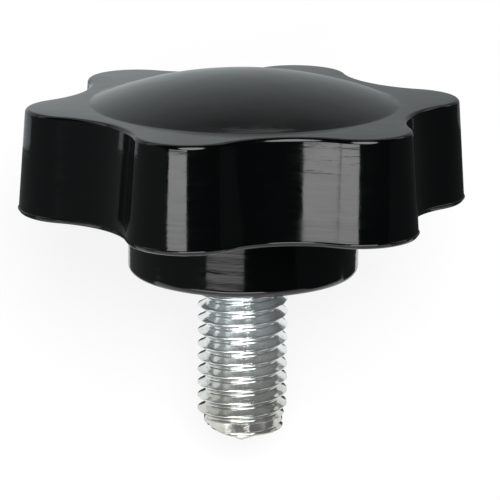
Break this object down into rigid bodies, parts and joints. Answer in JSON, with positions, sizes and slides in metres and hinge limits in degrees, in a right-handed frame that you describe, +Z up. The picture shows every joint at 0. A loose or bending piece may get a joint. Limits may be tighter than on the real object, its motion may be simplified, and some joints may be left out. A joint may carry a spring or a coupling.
{
  "type": "star knob screw",
  "caption": "Lobed star-shaped hand grip with a low dome and a hub, moulded onto a right-hand threaded metal stud, for tightening by hand.",
  "frame": {"origin": "middle of the bounding box's base, on the surface that the screw lies on", "axes": "+Z up; +X across the grip through two opposite lobe tips, the longest extent; the knob's axis lies in the YZ plane, with the dome facing +Y and up by 34.5 degrees and the stud's end facing -Y and down"},
  "size_m": [0.0502, 0.0454, 0.0426],
  "materials": {
    "gloss_thermoset": "black thermoset moulding, glossy, with faint flow marks and a thin parting line",
    "zinc_plated_steel": "bright zinc plate on a rolled thread"
  },
  "bodies": {
    "root": {"knob_body": "gloss_thermoset", "threaded_stud": "zinc_plated_steel"}
  },
  "joints": []
}
